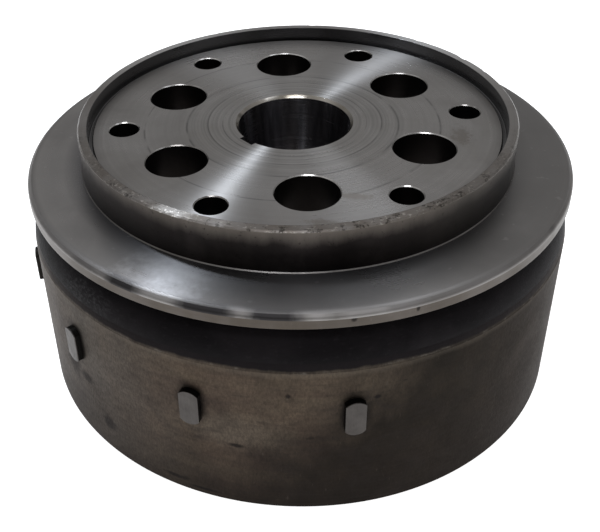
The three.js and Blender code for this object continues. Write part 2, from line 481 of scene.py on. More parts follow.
    def brushed_around(self, amount):
        """Makes gloss spread across the turning marks, which run round the axis."""
        self.shader.inputs["Anisotropic"].default_value = amount
        self.shader.inputs["Anisotropic Rotation"].default_value = 0.25
        tangent = self.node("ShaderNodeTangent", direction_type="RADIAL", axis="Z")
        self.put(self.shader.inputs["Tangent"], tangent.outputs[0])


# ------------------------------------------------------------------ finishes


def scaled(colour, factor):
    """A colour made lighter or darker."""
    return tuple(min(1.0, c * factor) for c in colour)


def turned_steel(
    name, clean, dirty, dirt, roughness, anisotropy, marks=0.004, ringed=1.0, details=None
):
    """Bare steel off the lathe, stained and scratched by use.

    dirt says how much of it is the dirty colour. marks is the depth of its tool marks in
    millimetres, and ringed is how plain those marks and the scratches look. details is a function
    that gives one face's own marks, each as (mask, weight, colour, added roughness).
    """
    g = Graph(name)
    rings = g.tool_marks()
    stain = g.noise(g.place, 0.055, detail=3.0, roughness=0.5, distortion=0.8)
    speck = g.noise(g.place, 0.9, detail=3.0)
    scratch = g.product(g.scratches(0.27), ringed)
    stain = g.math("MULTIPLY_ADD", speck, 0.12, stain)
    soiled = g.span(stain, 0.54 - dirt * 0.3, 0.92 - dirt * 0.2)
    colour = g.mix(soiled, clean, dirty)
    colour = g.mix(g.span(rings, 0.35, 0.65, 0.0, 0.22 * ringed), colour, scaled(clean, 0.72))
    colour = g.mix(g.product(scratch, 0.3), colour, scaled(clean, 1.4))
    dull = g.span(rings, 0.3, 0.7, roughness - 0.02 * ringed, roughness + 0.03 * ringed)
    gloss = g.math("MULTIPLY_ADD", soiled, 0.05, dull)
    if details:
        for mask, weight, tint, roughened in details(g):
            cover = g.product(mask, weight)
            colour = g.mix(cover, colour, tint)
            gloss = g.math("MULTIPLY_ADD", cover, roughened, gloss)
    height = g.math("SUBTRACT", rings, g.product(scratch, 0.5))
    normal = g.bump(height, marks)
    g.brushed_around(anisotropy)
    return g.shine(colour, gloss, 1.0, normal)


def face_marks(g):
    """Rings around the bore, scored circles, and old oil near the lip."""
    near_bore = g.span(g.radius, 20, 34, 1, 0.15)
    broad = g.span(g.line_noise(g.radius, 0.55), 0.4, 0.6)
    fine = g.span(g.line_noise(g.radius, 1.5), 0.42, 0.62)
    scored = g.strongest([
        g.ring_line(28.4, 0.42, (-0.6, -0.9)),
        g.ring_line(39.6, 0.38, (-0.9, -0.6)),
        g.ring_line(23.4, 0.3),
        g.ring_line(19.4, 0.3),
    ])
    oil = g.strongest([
        g.spot(17.0, -37.0, HUB_FACE, (6.0, 1.6, 3), 1.1),
        g.spot(10.0, -48.5, HUB_FACE, (5.0, 1.6, 3), 1.1),
        g.spot(44.0, -6.0, HUB_FACE, (3.0, 6.0, 3), 1.3),
    ])
    cloud = g.span(g.noise(g.place, 0.08, detail=4.0, roughness=0.6), 0.45, 0.7)
    edge = g.span(g.radius, 51.5, 54.6)
    return [
        (g.product(near_bore, broad), 0.5, (0.22, 0.22, 0.215), -0.03),
        (g.product(near_bore, fine), 0.35, (0.44, 0.43, 0.42), 0.03),
        (cloud, 0.25, (0.25, 0.235, 0.215), 0.03),
        (edge, 0.3, (0.16, 0.15, 0.145), 0.04),
        (scored, 0.6, (0.08, 0.08, 0.08), 0.1),
        (oil, 0.35, (0.12, 0.09, 0.06), 0.06),
    ]


def lip_marks(g):
    """Grey steel at the back with painted highlights on both sides; brown film, black nicks and
    painted glints along the front.
    """
    front = g.span(g.y, -5, -40)
    film = g.product(front, g.span(g.noise(g.place, 0.2, detail=4.0), 0.3, 0.6, 0.4, 1.0))
    nicks = g.span(g.noise(g.stretched(1, 1, 0.5), 0.45, detail=4.0, roughness=0.75), 0.55, 0.63)
    # painted glints: lighter spots along the front
    bright = g.span(g.noise(g.place, 0.8, detail=3.0, roughness=0.7), 0.56, 0.66)
    # a painted glint patch on the front left
    painted_glint_patch = g.spot(-24.5, -52.0, LIP_TOP, (7.0, 3.2, 3), 0.7)
    # painted highlights on both sides at the back
    painted_light = g.product(g.span(g.math("ABSOLUTE", g.x), 12, 34), g.span(g.y, 5, 30))
    return [
        (film, 0.8, (0.14, 0.12, 0.102), 0.05),
        (g.product(nicks, front), 0.8, (0.03, 0.026, 0.022), 0.1),
        (g.product(bright, front), 0.45, (0.5, 0.47, 0.43), 0.0),
        (g.product(painted_glint_patch, g.span(bright, 0, 1, 0.3, 1)), 1.0, (0.95, 0.92, 0.88), 0.0),
        (painted_light, 0.7, (0.55, 0.545, 0.54), 0.0),
    ]


def lip_wall_marks(g):
    """The inside of the lip has painted light on both sides, brighter than at the back."""
    sides = g.span(g.math("ABSOLUTE", g.x), 8, 36)
    # painted light on both sides of the lip's inner wall
    return [(sides, 0.8, (0.165, 0.163, 0.165), 0.0)]


def side_marks(g):
    """The hub's side is lighter near the lip, with painted light on its left and front right and
    painted shade low down at the front.
    """
    cloud = g.noise(g.stretched(1, 1, 0.35), 0.16, detail=5.0, roughness=0.6)
    height = g.math("MULTIPLY_ADD", cloud, 5.0, g.z)
    lighter_top = g.span(height, LIP_TOP - 1.6, LIP_TOP + 2.8)
    bands = g.span(g.noise(g.stretched(1, 1, 0), 0.09, detail=2.0), 0.4, 0.62)
    pits = g.span(g.noise(g.place, 1.1, detail=3.0), 0.63, 0.7)
    # painted light on the front right of the hub's side
    painted_light = g.around_span(-42, 12, 8)
    # painted light on the left
    left = g.span(g.x, -22, -46)
    # painted shade low down at the front
    darkened = g.product(g.around_span(-82, 16, 14), g.span(height, LIP_TOP, LIP_TOP - 4.0))
    return [
        (bands, 0.65, (0.012, 0.0105, 0.01), 0.0),
        (lighter_top, 0.75, (0.17, 0.15, 0.13), 0.06),
        (pits, 0.5, (0.012, 0.011, 0.01), 0.1),
        (left, 0.35, (0.09, 0.08, 0.076), 0.03),
        (painted_light, 0.55, (0.075, 0.068, 0.062), 0.05),
        (darkened, 0.8, (0.009, 0.0078, 0.0078), 0.0),
    ]


def flange_marks(g):
    """Dull towards the edge, darker on the right, with a painted highlight in one place, painted
    shade at the front, a painted reflection of the dark hub side next to the hub, painted dark
    reflections along the rounding, and faint dings.
    """
    dings = g.span(g.noise(g.place, 0.5, detail=2.0), 0.68, 0.74)
    dull = g.span(g.noise(g.place, 0.05, detail=3.0), 0.42, 0.65)
    outer = g.span(g.radius, 66, 71.5)
    # painted reflection of the dark hub side, darkening the flange next to the hub
    inner = g.span(g.radius, LIP_RADIUS + 0.5, 63.5, 1, 0)
    # darker on the right
    darkened = g.span(g.math("MULTIPLY_ADD", dull, 12.0, g.x), 26, 60)
    # painted highlight on the flange at the front left
    painted_light = g.product(g.around_span(-112.5, 4, 7), g.span(g.radius, 61, 69, 0.3, 1))
    rounding = g.span(g.radius, FLANGE_RADIUS - 2.6, FLANGE_RADIUS - 1.3)
    # painted dark reflections, carried from the chamfer onto the flange's rounding
    painted_dark_reflection = g.stretches(DARK_REFLECTION_CORNERS, 1.5)
    return [
        (dull, 0.3, (0.21, 0.205, 0.202), 0.04),
        (outer, 0.3, (0.38, 0.37, 0.36), 0.0),
        (inner, 0.75, (0.1, 0.1, 0.108), 0.0),
        (darkened, 0.75, (0.17, 0.166, 0.163), 0.04),
        (painted_light, 0.85, (0.78, 0.78, 0.81), 0.0),
        # painted shade on the flange at the front
        (g.around_span(-86, 13, 10), 0.4, (0.17, 0.17, 0.18), 0.0),
        (dings, 0.2, (0.45, 0.44, 0.43), 0.0),
        (rounding, 0.85, (0.25, 0.241, 0.236), 0.2),
        # painted dark reflections on the rounding
        (g.product(rounding, painted_dark_reflection), 0.6, (0.03, 0.029, 0.031), 0.0),
    ]


def corner_marks(g):
    """The flange's worn chamfer has painted highlights in some stretches and painted dark
    reflections in others.
    """
    upright = g.stretched(1, 1, 0.3)
    patchy = g.span(g.noise(upright, 0.06, detail=3.0, distortion=0.5), 0.5, 0.62)
    # painted dark reflections in some stretches of the chamfer
    darkened = g.stretches(DARK_REFLECTION_CORNERS, 1.5)
    # painted highlights in other stretches of the chamfer
    painted_highlight = g.stretches(HIGHLIGHT_CORNERS, 1.1)
    return [
        (patchy, 0.45, (0.1, 0.095, 0.092), 0.0),
        (painted_highlight, 0.5, (0.36, 0.35, 0.34), 0.04),
        (darkened, 0.9, (0.022, 0.021, 0.023), 0.0),
    ]


def edge_marks(g):
    """Brown film in patches around the flange's edge, and a few longer scores."""
    film = g.span(g.noise(g.place, 0.12, detail=4.0, roughness=0.6), 0.45, 0.65)
    scores = g.strongest([
        g.spot(22.0, -69.6, 60.0, (6.0, 2.0, 0.4), 0.25),
        g.spot(18.0, -70.7, 59.5, (0.8, 1.0, 0.9), 0.3),
        g.spot(31.5, -65.9, 59.4, (0.6, 1.0, 1.0), 0.3),
        g.spot(-12.0, -72.0, 60.2, (8.0, 2.0, 0.3), 0.4),
    ])
    return [
        (film, 0.45, (0.07, 0.058, 0.045), 0.08),
        (scores, 0.85, (0.015, 0.013, 0.012), 0.1),
    ]


def chamfer_marks(g):
    """Black stretches along the chamfer of the bore."""
    dark = g.span(g.noise(g.stretched(1, 1, 0), 0.13, detail=1.0), 0.55, 0.6)
    return [(dark, 0.6, (0.09, 0.08, 0.07), 0.05)]


def bore_marks(g):
    """Upright bands of painted reflection in the bore, with fine dark streaks and rust."""
    upright = g.stretched(1, 1, 0)
    # painted reflections: light upright bands in the bore
    bands = g.span(g.noise(upright, 0.11, detail=1.0), 0.54, 0.62)
    fine = g.span(g.noise(upright, 0.55, detail=2.0), 0.42, 0.6)
    rust = g.span(g.noise(upright, 0.09, detail=2.0, distortion=1.0), 0.56, 0.66)
    return [
        (bands, 0.75, (0.55, 0.55, 0.6), 0.05),
        (fine, 0.45, (0.012, 0.012, 0.014), 0.0),
        (rust, 0.35, (0.13, 0.07, 0.045), 0.05),
    ]


def tab_shade_halos(g):
    """Painted shade on the wall around every tab, for the tabs' contact shadows and the dark
    reflections of their sides, from 0 to 1.
    """
    start = tab_angle(TABS[0])
    turns = g.math("DIVIDE", g.math("SUBTRACT", g.angle, start), TAB_PITCH)
    across = g.product(g.math("WRAP", turns, 0.5, -0.5), TAB_PITCH * CUP_RADIUS)
    up = g.math("SUBTRACT", g.z, TAB_CENTRE + 0.5)
    wide, tall = TAB_WIDTH / 2 + 1.6, TAB_HEIGHT / 2 + 1.7
    offset = g.node(
        "ShaderNodeCombineXYZ", g.math("DIVIDE", across, wide), g.math("DIVIDE", up, tall)
    ).outputs[0]
    ragged = g.noise(g.place, 0.5, detail=3.0)
    away = g.math("MULTIPLY_ADD", ragged, 0.5, g.vector("LENGTH", offset))
    halo = g.span(away, 0.9, 1.4, 1, 0)
    from_empty = g.math("ABSOLUTE", g.math("SUBTRACT", g.angle, empty_angle()))
    margin = 1.5 * TAB_PITCH
    return g.product(halo, g.span(from_empty, margin - 0.01, margin + 0.01))


def oxidised_wall(name):
    """The cup's turned wall under a brown-grey oxide, with stains and rubbed places, painted
    light on the left and painted shade on the right and low down.
    """
    g = Graph(name)
    rings = g.tool_marks(0.9, 3.5)
    around = g.stretched(0.16, 0.16, 1)
    drift = g.noise(g.stretched(1, 1, 0.45), 0.022, detail=4.0, roughness=0.5, distortion=0.9)
    blotch = g.noise(g.place, 0.05, detail=5.0, roughness=0.6, distortion=1.2)
    wipe = g.noise(around, 0.14, detail=5.0, roughness=0.6, distortion=0.4)
    line = g.noise(around, 0.9, detail=3.0, roughness=0.6)
    cloud = g.noise(g.stretched(1, 1, 0.6), 0.13, detail=5.0, roughness=0.6)
    grain = g.noise(g.stretched(1, 1, 0.45), 2.0, detail=3.0, roughness=0.7)
    smudge = g.noise(g.stretched(1, 1, 1.6), 0.07, detail=3.0, distortion=2.0)
    fleck = g.noise(g.stretched(0.6, 0.6, 1), 0.42, detail=2.0, roughness=0.4)
    scratch = g.scratches(0.25)
    slant = g.math("SUBTRACT", g.x, g.product(g.z, 0.9))
    slant = g.math("MULTIPLY_ADD", blotch, 24.0, slant)
    # painted shade on the right, with a slanted edge
    right = g.span(slant, -14, 14)
    # painted light on the left
    left = g.span(g.x, -20, -60)
    # painted shade low down on the wall, near the floor
    low = g.span(g.math("MULTIPLY_ADD", cloud, 8.0, g.z), 28, 5)
    rubbed = g.spot(-8.0, -73.0, 25.0, (16.0, 9.0, 7.0), 0.35)
    dirt = g.strongest([
        g.spot(-8.5, -72.8, 20.5, (2.6, 2.0, 0.8), 0.3),
        g.spot(-25.0, -68.9, 3.8, (4.6, 2.5, 0.8), 0.3),
        g.spot(-17.5, -71.2, 2.2, (5.5, 2.5, 0.6), 0.3),
        g.spot(-50.0, -53.6, 21.0, (3.4, 3.4, 2.4), 0.6),
        g.spot(-54.5, -49.0, 23.0, (4.0, 4.8, 7.0), 0.6),
        g.spot(-44.0, -58.6, 10.0, (3.4, 3.0, 3.2), 0.6),
        g.spot(24.0, -69.3, 36.0, (1.0, 1.0, 0.8), 0.4),
        g.spot(4.0, -73.2, 38.0, (0.9, 1.0, 0.9), 0.4),
    ])
    paler = g.product(g.span(cloud, 0.45, 0.76), g.span(right, 0, 1, 0.35, 0.15))
    ragged = g.math("MULTIPLY_ADD", cloud, 2.4, g.z)
    worn_top = g.span(ragged, SHOULDER_FOOT - 0.8, SHOULDER_FOOT + 0.6)
    scale_top = g.span(ragged, SHOULDER_FOOT + 0.8, SHOULDER_FOOT + 1.9)
    from_line = g.math("ABSOLUTE", g.math("SUBTRACT", ragged, SHOULDER_FOOT + 1.2))
    broken = g.span(g.noise(g.stretched(1, 1, 0.4), 0.3, detail=5.0, roughness=0.7), 0.5, 0.62)
    rubbed_line = g.product(g.span(from_line, 0, 0.35, 1, 0), broken)
    colour = g.mix(g.span(blotch, 0.35, 0.66), (0.073, 0.0525, 0.0385), (0.045, 0.0325, 0.0265))
    colour = g.layered(colour, [
        (g.span(drift, 0.4, 0.62), 0.6, (0.05, 0.043, 0.031)),
        (g.span(wipe, 0.42, 0.62), 0.6, (0.092, 0.072, 0.051)),
        (rubbed, 0.5, (0.11, 0.092, 0.072)),
        (left, 0.75, (0.11, 0.104, 0.096)),
        (right, 0.9, (0.0075, 0.0062, 0.0046)),
        (paler, 1.0, (0.085, 0.062, 0.043)),
        (low, 0.7, (0.011, 0.0085, 0.0072)),
        (g.span(line, 0.46, 0.72), 0.34, (0.02, 0.017, 0.015)),
        (g.span(smudge, 0.52, 0.72), 0.4, (0.02, 0.016, 0.0145)),
        (g.span(grain, 0.35, 0.75), 0.45, (0.016, 0.0135, 0.012)),
        (g.span(fleck, 0.74, 0.8), 0.6, (0.009, 0.008, 0.007)),
        (dirt, 0.85, (0.007, 0.006, 0.006)),
        # painted shade around the tabs
        (tab_shade_halos(g), 0.8, (0.008, 0.007, 0.0065)),
        (scratch, 0.12, (0.14, 0.12, 0.1)),
        (worn_top, 0.25, (0.11, 0.094, 0.076)),
        (scale_top, 1.0, (0.008, 0.0068, 0.0075)),
        (rubbed_line, 0.6, (0.12, 0.108, 0.095)),
    ])
    gloss = g.math("MULTIPLY_ADD", blotch, 0.2, g.span(grain, 0.3, 0.7, 0.36, 0.48))
    height = g.math("MULTIPLY_ADD", grain, 0.5, rings)
    normal = g.bump(height, 0.012)
    g.brushed_around(0.35)
    g.shader.inputs["Specular Tint"].default_value = (0.62, 0.6, 0.59, 1.0)
    return g.shine(colour, gloss, 0.9, normal)


def forged_skin(name, light, dark, metallic=0.6, glint=0.5):
    """Black scale left by forging, rough and slightly pitted."""
    g = Graph(name)
    g.shader.inputs["Specular IOR Level"].default_value = glint
    lumps = g.noise(g.place, 0.35, detail=5.0, roughness=0.65)
    grain = g.noise(g.place, 2.6, detail=4.0, roughness=0.7)
    patch = g.noise(g.place, 0.05, detail=4.0, distortion=1.0)
    rubbed = g.span(g.noise(g.stretched(1, 1, 2.0), 0.5, detail=4.0, roughness=0.7), 0.56, 0.72)
    colour = g.mix(g.span(patch, 0.38, 0.7), dark, light)
    colour = g.mix(g.span(grain, 0.5, 0.8, 0.0, 0.5), colour, light)
    colour = g.mix(g.product(rubbed, 0.3), colour, scaled(light, 2.4))
    dusty = g.span(g.noise(g.stretched(0.5, 0.5, 1), 1.6, detail=4.0, roughness=0.7), 0.45, 0.75)
    scuffed = g.product(g.spot(-45.0, -53.0, 49.5, (14.0, 13.0, 4.0), 0.5), dusty)
    colour = g.mix(g.product(scuffed, 0.6), colour, (0.06, 0.059, 0.061))
    gloss = g.span(grain, 0.3, 0.7, 0.45, 0.65)
    height = g.math("MULTIPLY_ADD", grain, 0.35, lumps)
    return g.shine(colour, gloss, metallic, g.bump(height, 0.09))


def tab_steel(name):
    """The tabs' smooth faces, rubbed bright, over sides darkened with painted shade."""
    g = Graph(name)
    cloud = g.noise(g.place, 0.25, detail=4.0, roughness=0.6)
    grain = g.noise(g.stretched(1, 1, 0.15), 3.0, detail=2.0)
    colour = g.mix(g.span(cloud, 0.35, 0.7), (0.07, 0.064, 0.06), (0.052, 0.047, 0.044))
    # painted shade on the tabs' sides
    side = g.span(g.radius, TAB_TOP_RADIUS - 0.35, TAB_TOP_RADIUS - 0.1, 1, 0)
    colour = g.mix(side, colour, (0.012, 0.011, 0.01))
    gloss = g.span(grain, 0.3, 0.7, 0.38, 0.5)
    return g.shine(colour, gloss, 1.0, g.bump(grain, 0.004))


def ferrite(name):
    """Sintered magnet, ground on its faces."""
    g = Graph(name)
    grain = g.noise(g.place, 3.0, detail=4.0, roughness=0.7)
    cloud = g.noise(g.place, 0.12, detail=3.0)
    colour = g.mix(g.span(cloud, 0.35, 0.7), (0.035, 0.035, 0.038), (0.06, 0.058, 0.056))
    colour = g.mix(g.span(grain, 0.6, 0.8, 0.0, 0.4), colour, (0.11, 0.11, 0.11))
    return g.shine(colour, g.span(grain, 0.3, 0.7, 0.5, 0.66), 0.3, g.bump(grain, 0.02))


def moulded_resin(name):
    """Black resin cast around the magnets, slightly uneven."""
    g = Graph(name)
    flow = g.noise(g.place, 0.3, detail=3.0)
    grain = g.noise(g.place, 4.0, detail=2.0)
    colour = g.mix(g.span(flow, 0.35, 0.7), (0.018, 0.019, 0.021), (0.035, 0.034, 0.033))
    height = g.math("MULTIPLY_ADD", grain, 0.2, flow)
    return g.shine(colour, g.span(flow, 0.3, 0.7, 0.38, 0.55), 0.0, g.bump(height, 0.08))


def hub_paints():
    """The hub's finishes, in the order of the paint numbers below."""
    return [
        turned_steel(
            "hub_face_steel", (0.35, 0.342, 0.338), (0.28, 0.27, 0.264), 0.3, 0.27, 0.98,
            marks=0.002, ringed=0.7, details=face_marks,
        ),
        turned_steel(
            "lip_steel", (0.3, 0.29, 0.285), (0.22, 0.205, 0.19), 0.4, 0.34, 0.8,
            marks=0.006, details=lip_marks,
        ),
        turned_steel(
            "hub_side_steel", (0.045, 0.039, 0.037), (0.026, 0.0225, 0.022), 0.6, 0.3, 0.7,
            details=side_marks,
        ),
        turned_steel(
            "lip_wall_steel", (0.065, 0.064, 0.067), (0.035, 0.033, 0.032), 0.5, 0.26, 0.6,
            details=lip_wall_marks,
        ),
        turned_steel(
            "flange_steel", (0.31, 0.302, 0.3), (0.25, 0.243, 0.24), 0.2, 0.27, 0.78,
            marks=0.0002, ringed=0.3, details=flange_marks,
        ),
        turned_steel(
            "flange_corner_steel", (0.24, 0.23, 0.225), (0.17, 0.16, 0.15), 0.3, 0.5, 0.0,
            marks=0.0001, ringed=0.0, details=corner_marks,
        ),
        turned_steel(
            "flange_edge_steel", (0.1, 0.088, 0.079), (0.07, 0.06, 0.05), 0.4, 0.36, 0.5,
            details=edge_marks,
        ),
        turned_steel(
            "bore_steel", (0.28, 0.275, 0.295), (0.17, 0.155, 0.155), 0.5, 0.22, 0.7,
            marks=0.001, details=bore_marks,
        ),
        turned_steel(
            "bore_chamfer_steel", (0.48, 0.46, 0.43), (0.25, 0.22, 0.17), 0.5, 0.16, 0.3,
            marks=0.001, details=chamfer_marks,
        ),
        # the drilled holes' walls are near-black, as painted shade inside the holes
        turned_steel("hole_steel", (0.032, 0.028, 0.027), (0.014, 0.012, 0.012), 0.5, 0.36, 0.0),
        turned_steel("hole_edge_steel", (0.7, 0.69, 0.68), (0.12, 0.11, 0.1), 0.75, 0.2, 0.0),
        turned_steel(
            "foot_steel", (0.25, 0.24, 0.235), (0.1, 0.095, 0.09), 0.7, 0.24, 0.3, marks=0.0005
        ),
        forged_skin("hub_underside_steel", (0.14, 0.125, 0.11), (0.07, 0.06, 0.055)),
    ]


HUB_PAINTS = hub_paints()
(
    FACE, LIP, SIDE, LIP_WALL, FLANGE, CORNER, EDGE,
    BORE, BORE_EDGE, HOLE, HOLE_EDGE, FOOT, UNDERSIDE,
) = range(len(HUB_PAINTS))

CUP_PAINTS = [
    oxidised_wall("cup_wall_oxide"),
    # the shoulder under the flange is near-black, partly forged scale and partly painted shade
    forged_skin("shoulder_scale_and_shade", (0.009, 0.0075, 0.0085), (0.003, 0.0024, 0.003), 0.0, 0.07),
    forged_skin("cup_inside_scale", (0.11, 0.1, 0.09), (0.05, 0.045, 0.042)),
    turned_steel("rim_steel", (0.26, 0.24, 0.22), (0.12, 0.1, 0.09), 0.6, 0.36, 0.5),
]
WALL, SHOULDER, INSIDE, RIM_FACE = range(len(CUP_PAINTS))

# ------------------------------------------------------------------ hub and flange


def keyway_cutter():
    """A slot whose floor follows the taper of the bore."""
    over = 1.0
    low, high = BOSS_END - over, HUB_FACE + over
    foot = KEYWAY_RADIUS - BORE_TAPER * (HUB_FACE - low)
    head = KEYWAY_RADIUS + BORE_TAPER * over
    section = [(0, low), (foot, low), (head, high), (0, high)]
    vertices = []
    for side in (KEYWAY_WIDTH / 2, -KEYWAY_WIDTH / 2):
        for r, z in section:
            x = r * math.cos(KEYWAY_ANGLE) - side * math.sin(KEYWAY_ANGLE)
            y = r * math.sin(KEYWAY_ANGLE) + side * math.cos(KEYWAY_ANGLE)
            vertices.append((x, y, z))
    faces = [(3, 2, 1, 0), (4, 5, 6, 7)]
    faces += [(i, (i + 1) % 4, 4 + (i + 1) % 4, 4 + i) for i in range(4)]
    return make_object("keyway", vertices, faces, [BORE] * len(faces))


def hole_cutters(prefix, radius, chamfer):
    """A drill at every opening whose name starts with the prefix."""
    cutters = []
    for name, (low, high) in OPENINGS.items():
        if name.startswith(prefix):
            x = (low[0] + high[0]) / 2 / MM
            y = (low[1] + high[1]) / 2 / MM
            cutters.append(drill(x, y, radius, chamfer, WEB_UNDERSIDE, HUB_FACE, HOLE, HOLE_EDGE))
    return cutters


def build_hub():
    lip_inner = LIP_RADIUS - LIP_WIDTH
    undercut_inner = lip_inner - UNDERCUT_WIDTH
    undercut_floor = HUB_FACE - UNDERCUT_DEPTH
    bore_end = BORE_RADIUS - BORE_TAPER * (HUB_FACE - BOSS_END)
    corner = 1.0  # worn chamfer around the top of the flange
    foot = 0.25  # what the tool leaves where the hub meets the flange
    break_edge = 0.2
    rubbed, groove, fine = 0.15, 0.25, 0.06  # fillets of the lip, its groove and the bore
    outline = rounded([
        (SPIGOT_RADIUS, WEB_UNDERSIDE, 0.6, UNDERSIDE),
        (SPIGOT_RADIUS, FLANGE_UNDERSIDE, 0, UNDERSIDE),
        (FLANGE_RADIUS, FLANGE_UNDERSIDE, 0.35, EDGE),
        (FLANGE_RADIUS, FLANGE_TOP - corner, 1.1, CORNER),
        (FLANGE_RADIUS - corner * 1.2, FLANGE_TOP, 1.3, FLANGE),
        (LIP_RADIUS + foot, FLANGE_TOP, 0, FOOT),
        (LIP_RADIUS, FLANGE_TOP + foot, 0, SIDE),
        (LIP_RADIUS, LIP_TOP - LIP_CHAMFER, rubbed, LIP),
        (LIP_RADIUS - LIP_CHAMFER, LIP_TOP, rubbed, LIP),
        (lip_inner, LIP_TOP, rubbed, LIP_WALL),
        (lip_inner, undercut_floor, groove, LIP_WALL),
        (undercut_inner, undercut_floor, groove, LIP_WALL),
        (undercut_inner, HUB_FACE - break_edge, 0, FOOT),
        (undercut_inner - break_edge, HUB_FACE, 0, FACE),
        (BORE_RADIUS + BORE_CHAMFER, HUB_FACE, fine, BORE_EDGE),
        (BORE_RADIUS, HUB_FACE - BORE_CHAMFER, fine, BORE),
        (bore_end, BOSS_END, 0.4, BORE),
        (BOSS_END_RADIUS, BOSS_END, 0.8, UNDERSIDE),
        (BOSS_RADIUS, WEB_UNDERSIDE, 2.0, UNDERSIDE),
    ])
    hub = turned("hub_flange_turned", outline)
    knock(hub, LIP_RADIUS, LIP_TOP, reach=0.9, depth=0.7)
    knock(hub, FLANGE_RADIUS, FLANGE_TOP, reach=0.9, depth=0.3)
    for material in HUB_PAINTS:
        hub.data.materials.append(material)
    cutters = hole_cutters("window_hole", WINDOW_RADIUS, WINDOW_CHAMFER)
    cutters += hole_cutters("bolt_hole", BOLT_RADIUS, BOLT_CHAMFER)
    cutters.append(keyway_cutter())
    cut(hub, cutters)
    finish_piece(hub, "turned_steel", "hub_flange")


# ------------------------------------------------------------------ cup


def tab_outline(margin=0.0):
    """An upright slug with flat sides and arched ends, as (across, up) points."""
    half = TAB_WIDTH / 2 + margin
    end_radius = TAB_END_RADIUS + margin
    spread = math.asin(half / end_radius)
    centre = TAB_HEIGHT / 2 + margin - end_radius
    upper = arc(0, centre, end_radius, math.pi / 2 - spread, math.pi / 2 + spread, ARC_STEPS)
    lower = [(-x, -y) for x, y in upper]
    return upper + lower


def radial_prism(name, outline, inner, outer, angle):
    """A tab's section drawn from one radius to another, at one angle around the axis."""
    prism = extruded(name, outline, inner, outer)
    stand = Matrix(((0, 0, 1), (1, 0, 0), (0, 1, 0))).to_4x4()
    lift = Matrix.Translation((0, 0, TAB_CENTRE * MM))
    prism.data.transform(Matrix.Rotation(angle, 4, "Z") @ lift @ stand)
    return prism


def build_cup():
    shoulder = CUP_TOP - SHOULDER_FOOT
    seam = 0.1  # what is left of the gap under the flange
    top = FLANGE_UNDERSIDE - seam
    start = CUP_RADIUS - shoulder
    proud = 0.15  # how far the turned wall stands out from the forged shoulder
    ramp = 2.0  # how far in the shoulder has risen to the seam
    outline = rounded([
        (CUP_INNER_RADIUS, RIM, 0.5, RIM_FACE),
        (CUP_RADIUS, RIM, 0.8, WALL),
        (CUP_RADIUS, SHOULDER_FOOT - 2 * proud, 0, WALL),
    ])
    bend = arc(start, SHOULDER_FOOT, shoulder - proud, 0, math.pi / 2, BEND_STEPS)
    outline += [(x, y, WALL if y < WALL_TOP else SHOULDER) for x, y in bend]
    outline += rounded([
        (start - ramp, top, 0, SHOULDER),
        (SPIGOT_RADIUS + seam, top, 0, INSIDE),
        (SPIGOT_RADIUS + seam, CUP_ROOF, 0.5, INSIDE),
    ])
    fillet = 5.0
    centre = (CUP_INNER_RADIUS - fillet, CUP_ROOF - fillet)
    roof = arc(*centre, fillet, math.pi / 2, 0, BEND_STEPS // 2)
    outline += [(x, y, INSIDE) for x, y in roof]
    cup = turned("rotor_cup_turned", outline)
    for material in CUP_PAINTS:
        cup.data.materials.append(material)
    slot = tab_outline(margin=0.02)
    inner, outer = CUP_INNER_RADIUS - OVER, CUP_RADIUS + OVER
    cut(cup, [radial_prism("slot", slot, inner, outer, tab_angle(n)) for n in TABS])
    finish_piece(cup, "oxidised_steel", "rotor_cup")


def build_tab(node, steel):
    """A slug whose outer face follows the wall's curve."""
    recess = 0.1  # how far its inner end lies behind the cup's inner wall
    outer = TAB_TOP_RADIUS + OVER
    slug = node + "_slug"
    tab = radial_prism(slug, tab_outline(), CUP_INNER_RADIUS + recess, outer, tab_angle(node))
    beyond = outer + OVER
    rim = [
        (TAB_TOP_RADIUS, RIM, 0),
        (beyond, RIM, 0),
        (beyond, LIP_TOP, 0),
        (TAB_TOP_RADIUS, LIP_TOP, 0),
    ]
    cut(tab, [turned("facing", rim)])
    tab.data.materials.append(steel)
    bevelled(tab, 0.3)
    finish_piece(tab, "tab_steel", node)


# ------------------------------------------------------------------ magnets, cage and sleeve


def annulus_block(name, inner, outer, angle, half_angle, low, high):
    """A block between two radii and two heights, around one direction."""
    outline = arc(0, 0, outer, angle - half_angle, angle + half_angle, ARC_STEPS)
    outline += arc(0, 0, inner, angle + half_angle, angle - half_angle, ARC_STEPS)
    return extruded(name, outline, low, high)


def magnet_angle(node):
    """The direction of a magnet around the axis, from the number in its name."""
    return math.tau * (int(node[-2:]) - 1) / len(MAGNETS)


def build_magnet(node, material):
    magnet = annulus_block(
        node + "_block",
        MAGNET_INNER_RADIUS,
        MAGNET_OUTER_RADIUS,
        magnet_angle(node),
        MAGNET_HALF_ANGLE,
        MAGNET_LOW,
        MAGNET_HIGH,
    )
    magnet.data.materials.append(material)
    bevelled(magnet, 0.4)
    finish_piece(magnet, "magnet", node)


def plain_ring(inner, outer, low, high, fillet):
    """The outline of a ring with the same fillet on every edge."""
    corners = [(inner, low), (outer, low), (outer, high), (inner, high)]
    return rounded([(x, y, fillet, 0) for x, y in corners])


